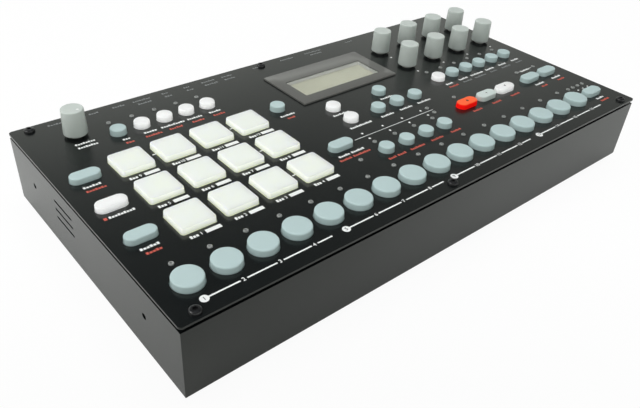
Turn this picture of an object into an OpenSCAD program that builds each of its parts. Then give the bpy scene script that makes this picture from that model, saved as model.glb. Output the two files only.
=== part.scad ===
// Desktop drum machine: a folded steel case under a flat control plate, with step keys,
// soft pads, mode keys, turning knobs, a small display and sockets on the rear wall.
// Millimetres. The origin lies on the table, under the middle of the whole object.
// Inside the modules x runs from the left edge, y from the front edge and z up from the table.

/* [Case] */
// Width of the control plate, left to right
case_w = 340; // [336:1:420]
// Depth of the control plate, front to back
case_d = 176; // [174:1:230]
// Height from the underside of the case to the top of the control plate
case_h = 43; // [42.5:0.5:60]
// Sheet thickness of the folded case
wall_t = 1.5; // [1.2:0.1:2]
// Outer radius of the bends along the bottom of the case
bend_r = 2; // [2:0.5:6]
// Width of the inward flange along the front and rear walls
flange_w = 8; // [7:0.5:9]
// Width of the inward flange along the side walls
side_flange_w = 3; // [2:0.5:3.5]
// Height of the rubber feet
foot_h = 4; // [3:0.5:8]
// Radius of the rubber feet
foot_r = 7; // [5:0.5:10]
// Distance from the case's edges to the middle of a foot
foot_inset = 22; // [16:1:30]

/* [Control plate] */
// Thickness of the control plate
plate_t = 1.2; // [1.2:0.1:2]
// Corner radius of the control plate
plate_r = 2; // [1:0.5:5]
// Height of the dark slit between the control plate and the case walls
plate_slit = 2; // [1:0.1:2]
// How far the control plate reaches past the case walls
plate_overhang = 0.3; // [0.2:0.1:1]
// Distance of the plate screws from the side edges
screw_side = 9.8; // [9:0.1:12]
// Distance of the plate screws from the front and rear edges
screw_edge = 4.5; // [4.2:0.1:5.5]
// Distance of the middle screws from the left edge
screw_mid_x = 163; // [160:1:176]

/* [Keys] */
// Radius of a step key
step_r = 7.3; // [5:0.1:7.8]
// Spacing of the step keys
step_pitch = 19.05; // [18.5:0.05:19.2]
// Middle of the first step key, from the left edge
step_x = 16.3; // [15.5:0.1:17]
// Middle of the step keys, from the front edge
step_y = 20.8; // [20:0.1:22]
// Radius of a small round key
small_r = 4.55; // [3.5:0.05:5.4]
// Length of an oval key
oval_w = 16; // [12:0.1:16.4]
// Width of an oval key
oval_d = 7.8; // [6:0.1:9]
// How far the keys stand above the plate
key_h = 3.3; // [2:0.1:5]
// How far the oval keys stand above the plate
oval_h = 3; // [2:0.1:5]
// How far a key goes down
key_travel = 1; // [0.5:0.1:1.2]
// Clear space round a key in its hole
key_gap = 0.3; // [0.3:0.05:0.5]
// Softening of the keys' top edges
key_soft = 0.5; // [0.2:0.1:0.8]

/* [Pads] */
// Side of a pad
pad_size = 18.6; // [15:0.1:19.5]
// Corner radius of a pad
pad_corner = 1.5; // [0.5:0.1:3]
// How far the pads stand above the plate
pad_h = 3.2; // [2:0.1:5]
// Spacing of the pads from left to right
pad_pitch_x = 23.9; // [22.5:0.05:24.5]
// Spacing of the pads, and of the oval keys beside them, from front to back
pad_pitch_y = 28.05; // [24:0.05:28.5]
// How far the pads go down
pad_travel = 0.5; // [0.3:0.1:0.8]
// How far the pads' shared mat reaches past the outer pads
mat_margin = 2; // [1:0.1:2.5]

/* [Knobs] */
// Radius of a knob at its lower rim
knob_r = 6.4; // [5.5:0.05:7.5]
// Radius of a knob at its top
knob_top_r = 5.95; // [5:0.05:7]
// Height of a knob's cap
knob_h = 14.5; // [10:0.5:18]
// Space between the plate and a knob's lower rim
knob_lift = 1.6; // [1.2:0.1:3]
// Radius of a knob's shaft
shaft_r = 3; // [2.5:0.1:3.2]
// Running clearance of a shaft in its bushing
shaft_gap = 0.1; // [0.05:0.01:0.15]
// Spacing of the data knobs from left to right
knob_pitch_x = 26.2; // [24:0.1:26.2]
// Spacing of the data knobs from front to back
knob_pitch_y = 26.3; // [24:0.1:27]

/* [Display] */
// Width of the display's cover sheet
cover_w = 78.6; // [74:0.1:80]
// Depth of the display's cover sheet
cover_d = 41.8; // [36:0.1:42]
// Thickness of the display's cover sheet
cover_t = 1; // [0.8:0.1:1.2]
// Width of the picture that shows through the plate
view_w = 62.2; // [50:0.1:66]
// Depth of the picture that shows through the plate
view_d = 20.7; // [16:0.1:24]

/* [Rear sockets] */
// Bore radius of the audio sockets, for a 6.35 mm plug
jack_bore_r = 3.25; // [3.2:0.01:3.3]
// Spacing of the audio sockets
jack_pitch = 15.15; // [15:0.05:15.6]
// Spacing of the round five-pin sockets
din_pitch = 23; // [20:0.5:24]

/* [Mounting holes] */
// Spacing of the four threaded holes in the base
base_pitch = 100; // [75:1:110]
// Thread radius of the base holes, tapped M4
base_hole_r = 1.65; // [1.6:0.05:2]
// Radius of the holes in the side walls
side_hole_r = 1.6; // [1.25:0.05:2]
// Spacing of the two holes in a side wall
side_hole_pitch = 117.6; // [100:0.1:120]

/* [Hidden] */
$fn = 48;
hull_fn = 32;
eps = 0.01;

// Heights, from the table up
base_top = foot_h + wall_t;
plate_top = foot_h + case_h;
plate_low = plate_top - plate_t;
wall_top = plate_low - plate_slit;

// The panel board hangs under the plate, the main board stands on the base
board_t = 1.6;
panel_board_top = plate_top - 11;
main_board_low = base_top + 6.5;
main_board_top = main_board_low + board_t;
board_edge = 6;
panel_board_front = 11;
panel_board_rear = case_d - 12;
main_board_front = case_d - 64;

// Walls, with the plate reaching past them
wall_out = plate_overhang;
wall_in = wall_out + wall_t;
rear_out = case_d - wall_out;
rear_in = case_d - wall_in;

// What the keys have below the plate
rim_reach = 1.2;
rim_t = 1.2;
rim_play = 0.3;
rim_top = plate_low - rim_play;
rim_low = rim_top - rim_t;
stem_r = 1.75;
stem_low = panel_board_top + key_travel + 0.6;
switch_w = 6;
switch_h = 3.8;
switch_floor = 0.3;

// The pads share one mat
mat_t = 1;
mat_top = plate_low - rim_play;
mat_low = mat_top - mat_t;
pad_foot_r = 3;
pad_foot_low = panel_board_top + pad_travel + 0.3;

// Groups keep their distance to the edge or the middle that they belong to
mid_x = case_w / 2;
function from_mid(v) = mid_x + v;
function from_right(v) = case_w - v;

// Left group
left_key_x = 14.7;
left_key_y = 57.3;
pad_x = 39;
pad_y = 56.6;
mode_x = 47.6;
mode_y = 144.2;
small_pitch = 14.1;
mode_count = 5;
volume_at = [28.2, 154.2];

// Middle group
tempo_at = [from_mid(-34), 118];
bank_at = [from_mid(-31.5), 64.4];
yes_at = [from_mid(-5.8), 99.9];
no_at = [from_mid(-5.8), 84];
arrow_pitch = 16;
down_at = [from_mid(32.5), 84];
up_at = down_at + [0, arrow_pitch];
scale_x = from_mid(-12.2);
scale_y = 48;
scale_count = 4;
cover_at = [from_mid(21.7), 133.3];
view_at = cover_at + [-0.3, -2.6];

// Right group
knob_at = [from_right(92), 118.8];
page_x = from_right(89.4);
page_y = 92.6;
page_count = 6;
transport_x = from_right(102.4);
transport_y = 57.4;
transport_pitch = 19.05;
chain_at = [from_right(17.2), transport_y];
page_key_at = [from_right(18.6), 21.2];

// Where each kind of key stands
step_count = 16;
steps = [for (i = [0:step_count - 1]) [step_x + step_pitch * i, step_y]];
mode_keys_at = [for (i = [0:mode_count - 1]) [mode_x + small_pitch * i, mode_y]];
scale_keys_at = [for (i = [0:scale_count - 1]) [scale_x + arrow_pitch * i, scale_y]];
page_keys_at = [for (i = [0:page_count - 1]) [page_x + small_pitch * i, page_y]];
pads_at = [for (row = [0:2]) for (col = [0:3]) [pad_x + pad_pitch_x * col, pad_y + pad_pitch_y * row]];
knobs_at = [for (row = [1, 0]) for (col = [0:3]) knob_at + [knob_pitch_x * col, knob_pitch_y * row]];

// Single keys: name, place, colour
grey = "#a3b5b5";
white = "#f2f2f0";
red = "#f04a1a";
oval_keys = [
    ["track_key", [left_key_x, left_key_y + 2 * pad_pitch_y], grey],
    ["function_key", [left_key_x, left_key_y + pad_pitch_y], white],
    ["retrigger_key", [left_key_x, left_key_y], grey],
    ["bank_key", bank_at, grey],
    ["record_key", [transport_x, transport_y], red],
    ["play_key", [transport_x + transport_pitch, transport_y], grey],
    ["stop_key", [transport_x + 2 * transport_pitch, transport_y], white],
    ["song_key", chain_at - [transport_pitch, 0], grey],
    ["chain_key", chain_at, grey],
    ["page_key", page_key_at, grey]
];
round_keys = [
    ["tempo_key", tempo_at, grey],
    ["yes_key", yes_at, white],
    ["no_key", no_at, white],
    ["up_key", up_at, grey],
    ["left_key", down_at - [arrow_pitch, 0], grey],
    ["down_key", down_at, grey],
    ["right_key", down_at + [arrow_pitch, 0], grey]
];
switches_at = concat(
    steps, mode_keys_at, scale_keys_at, page_keys_at,
    [for (k = oval_keys) k[1]], [for (k = round_keys) k[1]]
);

// Indicator lamps, each by the key it belongs to
lamp_r = 1.35;
lamp_gap = 0.1;
lamp_proud = 0.45;
lamps_at = concat(
    [for (p = steps) p + [0, 13.3]],
    [for (p = mode_keys_at) p + [0.2, 12.3]],
    [for (p = page_keys_at) p + [0.6, 10.8]],
    [for (p = scale_keys_at) p + [0.3, 9.5]],
    [for (i = [0:3]) page_key_at + [-8.3 + 5.5 * i, 11.6]],
    [bank_at + [0.1, -16.4], [from_mid(42.8), 62], [from_mid(42.8), 68]],
    [for (x = [transport_x, chain_at.x - transport_pitch, chain_at.x]) [x + 1, transport_y + 11.1]]
);

// Fixings
plate_screws_at = [for (y = [screw_edge, case_d - screw_edge])
    for (x = [screw_side, screw_mid_x, case_w - screw_side]) [x, y]];
plate_screw_r = 1.45;
plate_screw_hole_r = 1.6;
plate_screw_head_r = 2.85;
plate_screw_head_h = 1.6;
plate_screw_len = 8;
boss_r = 3;
feet_at = [for (x = [foot_inset, case_w - foot_inset]) for (y = [foot_inset, case_d - foot_inset]) [x, y]];
foot_stem_r = 2;
foot_head_r = 3;
foot_hole_r = foot_stem_r + 0.2;
panel_posts_at = [
    [10, 43], [128, 40], [12, 135], [from_mid(-30), 150], [from_right(105), 42],
    [from_right(50), 42], [from_mid(63), 160], [from_right(8.8), 132]
];
main_posts_at = [for (x = [16, mid_x, case_w - 16]) for (y = [case_d - 58, case_d - 26]) [x, y]];
post_r = 2.8;
post_bore_r = 1.3;
board_screw_r = 1.2;
board_screw_hole_r = 1.5;
board_screw_head_r = 2.5;
board_screw_head_h = 1.8;
board_screw_len = 6;

// Encoders and the volume control
encoder_w = 12.4;
encoder_h = 6.5;
bushing_r = 3.6;
bushing_gap = 0.3;
bushing_proud = 0.8;
shaft_low = panel_board_top + 1;
cap_bore_gap = 0.05;
cap_roof = 3;
cap_wall = 1.4;
skirt_depth = 5;

// Display parts
cover_r = 0.6;
display_drop = 0.4;
display_margin = 4;

// Rear sockets: their axes share one height
socket_h = 17.2;
socket_z = main_board_top + socket_h / 2;
jack_count = 8;
jack_x0 = 27.2;
jack_x1 = 45.6;
function jack_x(i) = i == 0 ? jack_x0 : jack_x1 + jack_pitch * (i - 1);
jack_w = 14.4;
jack_d = 22;
jack_neck_r = 4.6;
jack_nut_af = 11;
jack_nut_t = 2.2;
jack_end = 1.3;
jack_bore_len = 20;
hole_gap = 0.15;
rear_reach = jack_nut_t + jack_end - wall_out;
din_count = 3;
din_x = from_mid(-9);
din_w = 18;
din_d = 11;
din_barrel_r = 7.5;
din_well_r = 6.9;
din_core_r = 5.6;
din_depth = 8;
din_proud = 0.6;
din_pin_r = 0.8;
din_pin_circle = 3.75;
usb_x = from_right(98);
usb_w = 12;
usb_h = 11;
usb_d = 15;
dc_x = from_right(72);
dc_w = 9;
dc_h = 11;
dc_d = 14;
dc_bore_r = 3;
dc_pin_r = 1;
power_x = from_right(42);
power_r = 4.5;
power_proud = 2.8;
power_travel = 2;
power_body_w = 14;
power_body_d = 12;
power_gap_in = 5;

// Holes of the side walls
slot_l = 20.5;
slot_w = 1.3;
slot_y = 111.3;
slot_z = [20.7, 25.8, 30.9];
side_hole_y = 31.4;
side_hole_z = 23.7;

STEP_NAMES = [for (i = [1:step_count]) str("step_key_", i)];
KNOB_NAMES = [for (i = [1:len(knobs_at)]) str("data_knob_", i)];

// ---- Shapes that repeat ----

// Moves a drawing from the case's front left corner to the frame of the whole object
module in_frame() {
    translate([-case_w / 2, -(case_d + rear_reach) / 2, 0]) children();
}

// Rectangle with round corners, about its middle
module rounded_rect(w, d, r) {
    square([w - 2 * r, d], center = true);
    square([w, d - 2 * r], center = true);
    for (sx = [-1, 1])
        for (sy = [-1, 1])
            translate([sx * (w / 2 - r), sy * (d / 2 - r)]) circle(r);
}

// Rectangle with half-round ends
module oval(w, d) {
    square([w - d, d], center = true);
    for (s = [-1, 1]) translate([s * (w - d) / 2, 0]) circle(d / 2);
}

// Half of a round piece's outline, with a rounded top edge
module turned(r, low, high, soft) {
    translate([0, low]) square([r, high - low - soft]);
    translate([0, high - soft - eps]) square([r - soft, soft + eps]);
    translate([r - soft, high - soft]) intersection() {
        circle(soft);
        square(soft + eps);
    }
}

// Upright side view of the case, w long, with rounded lower corners
module tray_side(w, h, r) {
    translate([0, r]) square([w, h - r]);
    translate([r, 0]) square([w - 2 * r, r + eps]);
    for (x = [r, w - r]) translate([x, r]) circle(r);
}

// Solid block of the case, rounded along all four lower edges
module tray(w, d, h, r) {
    intersection() {
        translate([0, d, 0]) rotate([90, 0, 0]) linear_extrude(d) tray_side(w, h, r);
        rotate([90, 0, 90]) linear_extrude(w) tray_side(d, h, r);
    }
}

// Ring standing on z = 0
module ring(r_out, r_in, h) {
    difference() {
        cylinder(r = r_out, h = h);
        translate([0, 0, -eps]) cylinder(r = r_in, h = h + 2 * eps);
    }
}

// ---- Keys and pads ----

module stem() {
    translate([0, 0, stem_low]) cylinder(r = stem_r, h = rim_low - stem_low + eps);
}

module round_key(at, r) {
    translate([at.x, at.y, 0]) {
        rotate_extrude() {
            turned(r, rim_low, plate_top + key_h, key_soft);
            translate([0, rim_low]) square([r + rim_reach, rim_t]);
        }
        stem();
    }
}

// Upright block with a softened top edge, from low to high
module soft_block(low, high, soft) {
    hull() {
        translate([0, 0, low]) linear_extrude(high - soft - low) children(0);
        translate([0, 0, low]) linear_extrude(high - low) children(1);
    }
}

module oval_key(at) {
    translate([at.x, at.y, 0]) {
        soft_block(rim_top - eps, plate_top + oval_h, key_soft) {
            oval(oval_w, oval_d, $fn = hull_fn);
            oval(oval_w - 2 * key_soft, oval_d - 2 * key_soft, $fn = hull_fn);
        }
        translate([0, 0, rim_low]) linear_extrude(rim_t) oval(oval_w + 2 * rim_reach, oval_d + 2 * rim_reach);
        stem();
    }
}

module step_key(i) {
    color(grey) in_frame() round_key(steps[i], step_r);
}

module single_round_key(k) {
    color(k[2]) in_frame() round_key(k[1], small_r);
}

module single_oval_key(k) {
    color(k[2]) in_frame() oval_key(k[1]);
}

module mode_keys() {
    color(white) in_frame() for (p = mode_keys_at) round_key(p, small_r);
}

module scale_keys() {
    color(grey) in_frame() for (p = scale_keys_at) round_key(p, small_r);
}

module page_select_keys() {
    color(grey) in_frame() for (p = page_keys_at) round_key(p, small_r);
}

// Square block from low to high, rounded along its upright and its top edges
module pad_block(low, high) {
    intersection() {
        translate([0, 0, low]) linear_extrude(high - low) rounded_rect(pad_size, pad_size, pad_corner);
        translate([-pad_size / 2, -pad_size / 2, high]) mirror([0, 0, 1])
            tray(pad_size, pad_size, high - low + 1, key_soft);
    }
}

module pads() {
    mat_w = 3 * pad_pitch_x + pad_size + 2 * mat_margin;
    mat_d = 2 * pad_pitch_y + pad_size + 2 * mat_margin;
    mat_mid = (pads_at[0] + pads_at[len(pads_at) - 1]) / 2;
    color("#eef2ea") in_frame() {
        translate([mat_mid.x, mat_mid.y, mat_low]) linear_extrude(mat_t) rounded_rect(mat_w, mat_d, pad_corner);
        for (p = pads_at) translate([p.x, p.y, 0]) {
            pad_block(mat_low + eps, plate_top + pad_h);
            translate([0, 0, pad_foot_low]) cylinder(r = pad_foot_r, h = mat_low - pad_foot_low + eps);
        }
    }
}

// ---- Knobs ----

// A cap, hollow below and bored for its shaft, and the shaft that it is pushed onto
module knob(at) {
    cap_low = plate_top + knob_lift;
    cap_high = cap_low + knob_h;
    shaft_high = cap_high - cap_roof;
    translate([at.x, at.y, 0]) {
        difference() {
            rotate_extrude() {
                polygon([[0, cap_low], [knob_r, cap_low], [knob_top_r, cap_high - key_soft], [0, cap_high - key_soft]]);
                translate([0, cap_low]) turned(knob_top_r, 0, knob_h, key_soft);
            }
            translate([0, 0, cap_low - eps]) cylinder(r = knob_top_r - cap_wall, h = skirt_depth);
            translate([0, 0, cap_low]) cylinder(r = shaft_r + cap_bore_gap, h = shaft_high - cap_low);
        }
        translate([0, 0, shaft_low]) cylinder(r = shaft_r, h = shaft_high - shaft_low);
    }
}

module data_knob(i) {
    color(grey) in_frame() knob(knobs_at[i]);
}

module volume_knob() {
    color(grey) in_frame() knob(volume_at);
}

// ---- Case ----

module side_openings() {
    for (x = [wall_out - eps, case_w - wall_in - eps]) {
        for (z = slot_z)
            translate([x, slot_y, foot_h + z]) rotate([90, 0, 90])
                linear_extrude(wall_t + 2 * eps) oval(slot_l, slot_w);
        for (k = [0, 1])
            translate([x, side_hole_y + side_hole_pitch * k, foot_h + side_hole_z]) rotate([0, 90, 0])
                cylinder(r = side_hole_r, h = wall_t + 2 * eps);
    }
}

module rear_openings() {
    translate([0, rear_in - eps, 0]) {
        depth = wall_t + 2 * eps;
        for (i = [0:jack_count - 1])
            translate([jack_x(i), 0, socket_z]) rotate([-90, 0, 0]) cylinder(r = jack_neck_r + hole_gap, h = depth);
        for (i = [0:din_count - 1])
            translate([din_x + din_pitch * i, 0, socket_z]) rotate([-90, 0, 0])
                cylinder(r = din_barrel_r + hole_gap, h = depth);
        translate([usb_x - usb_w / 2 - hole_gap, 0, main_board_top - hole_gap])
            cube([usb_w + 2 * hole_gap, depth, usb_h + 2 * hole_gap]);
        translate([dc_x - dc_w / 2 - hole_gap, 0, main_board_top - hole_gap])
            cube([dc_w + 2 * hole_gap, depth, dc_h + 2 * hole_gap]);
        translate([power_x, 0, socket_z]) rotate([-90, 0, 0]) cylinder(r = power_r + key_gap, h = depth);
    }
}

module base_holes_at() {
    for (x = [-1, 1])
        for (y = [-1, 1])
            translate([mid_x + x * base_pitch / 2, case_d / 2 + y * base_pitch / 2, 0]) children();
}

module chassis() {
    nut_h = 2.5;
    nut_r = 2.3;
    insert_r = 3.2;
    insert_h = 5;
    outer_w = case_w - 2 * wall_out;
    outer_d = case_d - 2 * wall_out;
    inner_w = outer_w - 2 * wall_t;
    inner_d = outer_d - 2 * wall_t;
    flange_low = wall_top - wall_t;
    color("#26292a") in_frame() difference() {
        union() {
            // The folded tray
            difference() {
                translate([wall_out, wall_out, foot_h]) tray(outer_w, outer_d, wall_top - foot_h, bend_r);
                translate([wall_in, wall_in, base_top]) tray(inner_w, inner_d, wall_top, bend_r - wall_t);
            }
            // The flange that the plate stands on, with a thread boss under each plate screw
            translate([0, 0, flange_low]) difference() {
                translate([wall_in - eps, wall_in - eps, 0]) cube([inner_w + 2 * eps, inner_d + 2 * eps, wall_t]);
                translate([wall_in + side_flange_w, wall_in + flange_w, -eps])
                    cube([inner_w - 2 * side_flange_w, inner_d - 2 * flange_w, wall_t + 2 * eps]);
            }
            for (p = plate_screws_at)
                translate([p.x, p.y, flange_low - nut_h]) cylinder(r = nut_r, h = nut_h + eps);
            // Threaded inserts over the base holes, and posts under the main board
            translate([0, 0, base_top - eps]) {
                base_holes_at() cylinder(r = insert_r, h = insert_h);
                for (p = main_posts_at)
                    translate([p.x, p.y, 0]) cylinder(r = post_r, h = main_board_low - base_top + eps);
            }
        }
        base_holes_at() translate([0, 0, foot_h - eps]) cylinder(r = base_hole_r, h = insert_h + wall_t + 2 * eps);
        for (p = main_posts_at)
            translate([p.x, p.y, base_top]) cylinder(r = post_bore_r, h = main_board_low - base_top + eps);
        for (p = plate_screws_at)
            translate([p.x, p.y, flange_low - nut_h - eps]) cylinder(r = plate_screw_hole_r, h = nut_h + wall_t + 3 * eps);
        for (p = feet_at)
            translate([p.x, p.y, foot_h - eps]) cylinder(r = foot_hole_r, h = wall_t + 2 * eps);
        side_openings();
        rear_openings();
    }
}

module top_plate() {
    depth = plate_t + 2 * eps;
    post_h = plate_low - panel_board_top;
    color("#2b2e2f") in_frame() difference() {
        union() {
            translate([case_w / 2, case_d / 2, plate_low]) linear_extrude(plate_t) rounded_rect(case_w, case_d, plate_r);
            for (p = plate_screws_at) translate([p.x, p.y, wall_top]) cylinder(r = boss_r, h = plate_slit + eps);
            for (p = panel_posts_at) translate([p.x, p.y, panel_board_top]) cylinder(r = post_r, h = post_h + eps);
        }
        for (p = plate_screws_at)
            translate([p.x, p.y, wall_top - eps]) cylinder(r = plate_screw_hole_r, h = plate_slit + depth);
        for (p = panel_posts_at)
            translate([p.x, p.y, panel_board_top - eps]) cylinder(r = post_bore_r, h = post_h);
        translate([0, 0, plate_low - eps]) linear_extrude(depth) plate_holes();
    }
}

// Every hole through the plate, as a flat drawing
module plate_holes() {
    for (p = steps) translate(p) circle(step_r + key_gap);
    for (p = concat(mode_keys_at, scale_keys_at, page_keys_at, [for (k = round_keys) k[1]]))
        translate(p) circle(small_r + key_gap);
    for (k = oval_keys) translate(k[1]) oval(oval_w + 2 * key_gap, oval_d + 2 * key_gap);
    for (p = pads_at) translate(p)
        rounded_rect(pad_size + 2 * key_gap, pad_size + 2 * key_gap, pad_corner + key_gap);
    for (p = concat(knobs_at, [volume_at])) translate(p) circle(bushing_r + bushing_gap);
    for (p = lamps_at) translate(p) circle(lamp_r + lamp_gap);
    translate(view_at) square([view_w, view_d], center = true);
}

module rubber_feet() {
    head_t = 1;
    rim = 0.6;
    color("#1a1a1a") in_frame() for (p = feet_at) translate([p.x, p.y, 0]) {
        rotate_extrude() {
            polygon([[0, 0], [foot_r - rim, 0], [foot_r, rim], [foot_r, foot_h], [0, foot_h]]);
            translate([0, foot_h - eps]) square([foot_stem_r, wall_t + 2 * eps]);
            translate([0, base_top]) square([foot_head_r, head_t]);
        }
    }
}

module plate_screw() {
    socket_af = 2;
    socket_depth = 1;
    difference() {
        union() {
            translate([0, 0, plate_top]) rotate_extrude() turned(plate_screw_head_r, 0, plate_screw_head_h, 0.9);
            translate([0, 0, plate_top - plate_screw_len]) cylinder(r = plate_screw_r, h = plate_screw_len + eps);
        }
        translate([0, 0, plate_top + plate_screw_head_h - socket_depth])
            cylinder(r = socket_af / sqrt(3), h = socket_depth + eps, $fn = 6);
    }
}

// Board screw with its head below z = 0 and its shank above
module board_screw() {
    translate([0, 0, -board_screw_head_h]) cylinder(r = board_screw_head_r, h = board_screw_head_h);
    translate([0, 0, -eps]) cylinder(r = board_screw_r, h = board_screw_len);
}

module screws() {
    color("#1e1f20") in_frame() {
        for (p = plate_screws_at) translate([p.x, p.y, 0]) plate_screw();
        for (p = panel_posts_at) translate([p.x, p.y, panel_board_top - board_t]) board_screw();
        for (p = main_posts_at) translate([p.x, p.y, main_board_top]) rotate([180, 0, 0]) board_screw();
    }
}

// ---- Inside ----

module panel_board() {
    color("#1f5a3a") in_frame() translate([0, 0, panel_board_top - board_t]) difference() {
        translate([board_edge, panel_board_front, 0])
            cube([case_w - 2 * board_edge, panel_board_rear - panel_board_front, board_t]);
        for (p = panel_posts_at)
            translate([p.x, p.y, -eps]) cylinder(r = board_screw_hole_r, h = board_t + 2 * eps);
    }
}

// The main board, its larger chips and the header that plugs into the panel board
module main_board() {
    chip_t = 1.4;
    header_w = 50;
    header_d = 5;
    header_y = main_board_front + 12;
    header_h = panel_board_top - board_t - main_board_top;
    // Each chip: left edge from the middle of the case, middle from the board's front edge, side
    chips = [[-140, 20, 20], [-100, 20, 14], [-58, 22, 24], [34, 20, 24], [80, 24, 14], [115, 20, 20]];
    color("#1f5a3a") in_frame() {
        difference() {
            translate([board_edge, main_board_front, main_board_low])
                cube([case_w - 2 * board_edge, rear_in - 2 - main_board_front, board_t]);
            for (p = main_posts_at)
                translate([p.x, p.y, main_board_low - eps]) cylinder(r = board_screw_hole_r, h = board_t + 2 * eps);
        }
        for (c = chips)
            translate([from_mid(c[0]), main_board_front + c[1] - c[2] / 2, main_board_top])
                cube([c[2], c[2], chip_t]);
        translate([mid_x - header_w / 2, header_y, main_board_top]) cube([header_w, header_d, header_h]);
    }
}

module key_switches() {
    color("#303030") in_frame() for (p = switches_at) translate([p.x, p.y, panel_board_top]) difference() {
        translate([-switch_w / 2, -switch_w / 2, 0]) cube([switch_w, switch_w, switch_h]);
        translate([0, 0, switch_floor]) cylinder(r = stem_r + key_gap, h = switch_h);
    }
}

// Housing on the board with a neck through the plate, bored for the knob's shaft
module encoder() {
    neck_h = plate_top + bushing_proud - panel_board_top;
    difference() {
        union() {
            translate([-encoder_w / 2, -encoder_w / 2, 0]) cube([encoder_w, encoder_w, encoder_h]);
            cylinder(r = bushing_r, h = neck_h);
        }
        translate([0, 0, shaft_low - panel_board_top - 0.3]) cylinder(r = shaft_r + shaft_gap, h = neck_h);
    }
}

module encoders() {
    color("#5b5e60") in_frame() for (p = concat(knobs_at, [volume_at]))
        translate([p.x, p.y, panel_board_top]) encoder();
}

module lamp_lenses() {
    foot_r1 = 2;
    foot_t1 = 0.8;
    pipe_r = 1.2;
    under = plate_low - 0.2;
    pipe_low = panel_board_top + 0.3;
    color("#b9bdb9") in_frame() for (p = lamps_at) translate([p.x, p.y, 0]) rotate_extrude() {
        turned(lamp_r, under - eps, plate_top + lamp_proud, 0.4);
        translate([0, under - foot_t1]) square([foot_r1, foot_t1]);
        translate([0, pipe_low]) square([pipe_r, under - pipe_low]);
    }
}

module display_cover() {
    color("#6f7270") in_frame() translate([cover_at.x, cover_at.y, plate_top])
        linear_extrude(cover_t) rounded_rect(cover_w, cover_d, cover_r);
}

// Picture cell in its frame, standing on the panel board
module display_module() {
    frame_d = 5.5;
    high = plate_low - display_drop;
    color("#9fa294") in_frame() translate([view_at.x, view_at.y, 0]) {
        translate([0, 0, panel_board_top]) linear_extrude(high - frame_d - panel_board_top + eps)
            square([view_w, view_d], center = true);
        translate([0, 0, high - frame_d]) linear_extrude(frame_d)
            square([view_w + 2 * display_margin, view_d + 2 * display_margin], center = true);
    }
}

// ---- Rear sockets ----

module jack_socket() {
    nut_high = rear_out + jack_nut_t;
    neck_end = nut_high + jack_end;
    translate([-jack_w / 2, rear_in - jack_d, main_board_top]) difference() {
        cube([jack_w, jack_d, socket_h]);
        translate([jack_w / 2, jack_d - (jack_bore_len - (neck_end - rear_in)), socket_h / 2]) rotate([-90, 0, 0])
            cylinder(r = jack_bore_r, h = jack_bore_len);
    }
    translate([0, rear_in - eps, socket_z]) rotate([-90, 0, 0]) ring(jack_neck_r, jack_bore_r, neck_end - rear_in + eps);
    translate([0, rear_out, socket_z]) rotate([-90, 0, 0]) difference() {
        cylinder(r = jack_nut_af / sqrt(3), h = jack_nut_t, $fn = 6);
        translate([0, 0, -eps]) cylinder(r = jack_neck_r + 0.05, h = jack_nut_t + 2 * eps);
    }
}

module jack_sockets() {
    color("#c9cbcc") in_frame() for (i = [0:jack_count - 1]) translate([jack_x(i), 0, 0]) jack_socket();
}

module din_socket() {
    mouth = rear_out + din_proud;
    translate([-din_w / 2, rear_in - din_d, main_board_top]) difference() {
        cube([din_w, din_d, socket_h]);
        translate([din_w / 2, mouth - din_depth - (rear_in - din_d), socket_h / 2]) rotate([-90, 0, 0])
            ring(din_well_r, din_core_r, din_depth);
    }
    translate([0, rear_in - eps, socket_z]) rotate([-90, 0, 0]) {
        ring(din_barrel_r, din_well_r, mouth - rear_in + eps);
        difference() {
            cylinder(r = din_core_r, h = mouth - rear_in);
            for (a = [0, 45, 90, 135, 180]) rotate([0, 0, a]) translate([din_pin_circle, 0, eps])
                cylinder(r = din_pin_r, h = mouth);
        }
    }
}

module usb_socket() {
    mouth_w = 8.5;
    mouth_h = 7.8;
    tongue_w = 5.6;
    tongue_h = 3.2;
    depth = 9;
    mid_z = main_board_top + usb_h / 2;
    difference() {
        translate([-usb_w / 2, rear_out - usb_d, main_board_top]) cube([usb_w, usb_d, usb_h]);
        translate([-mouth_w / 2, rear_out - depth, mid_z - mouth_h / 2]) cube([mouth_w, depth + eps, mouth_h]);
    }
    translate([-tongue_w / 2, rear_out - depth - eps, mid_z - tongue_h / 2]) cube([tongue_w, depth - 1, tongue_h]);
}

module dc_socket() {
    depth = 9;
    mid_z = main_board_top + dc_h / 2;
    difference() {
        translate([-dc_w / 2, rear_out - dc_d, main_board_top]) cube([dc_w, dc_d, dc_h]);
        translate([0, rear_out - depth, mid_z]) rotate([-90, 0, 0]) cylinder(r = dc_bore_r, h = depth + eps);
    }
    translate([0, rear_out - depth - eps, mid_z]) rotate([-90, 0, 0]) cylinder(r = dc_pin_r, h = depth - 1);
}

// Housing of the power switch, bored for the button's stem
module power_switch() {
    face = rear_in - power_gap_in;
    difference() {
        translate([-power_body_w / 2, face - power_body_d, main_board_top])
            cube([power_body_w, power_body_d, socket_h]);
        translate([0, face - power_body_d + 2, socket_z]) rotate([-90, 0, 0])
            cylinder(r = stem_r + key_gap, h = power_body_d);
    }
}

module rear_sockets() {
    color("#2a2a2b") in_frame() {
        for (i = [0:din_count - 1]) translate([din_x + din_pitch * i, 0, 0]) din_socket();
        translate([usb_x, 0, 0]) usb_socket();
        translate([dc_x, 0, 0]) dc_socket();
        translate([power_x, 0, 0]) power_switch();
    }
}

module power_button() {
    rim_face = rear_in - rim_play;
    stem_front = rear_in - power_gap_in - power_body_d + 2 + power_travel + 0.6;
    color("#1c1c1c") in_frame() translate([power_x, 0, socket_z]) rotate([-90, 0, 0]) {
        rotate_extrude() turned(power_r, rim_face - rim_t, rear_out + power_proud, key_soft);
        translate([0, 0, rim_face - rim_t]) cylinder(r = power_r + rim_reach, h = rim_t);
        translate([0, 0, stem_front]) cylinder(r = stem_r, h = rim_face - rim_t - stem_front + eps);
    }
}

// ---- What is drawn ----

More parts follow.
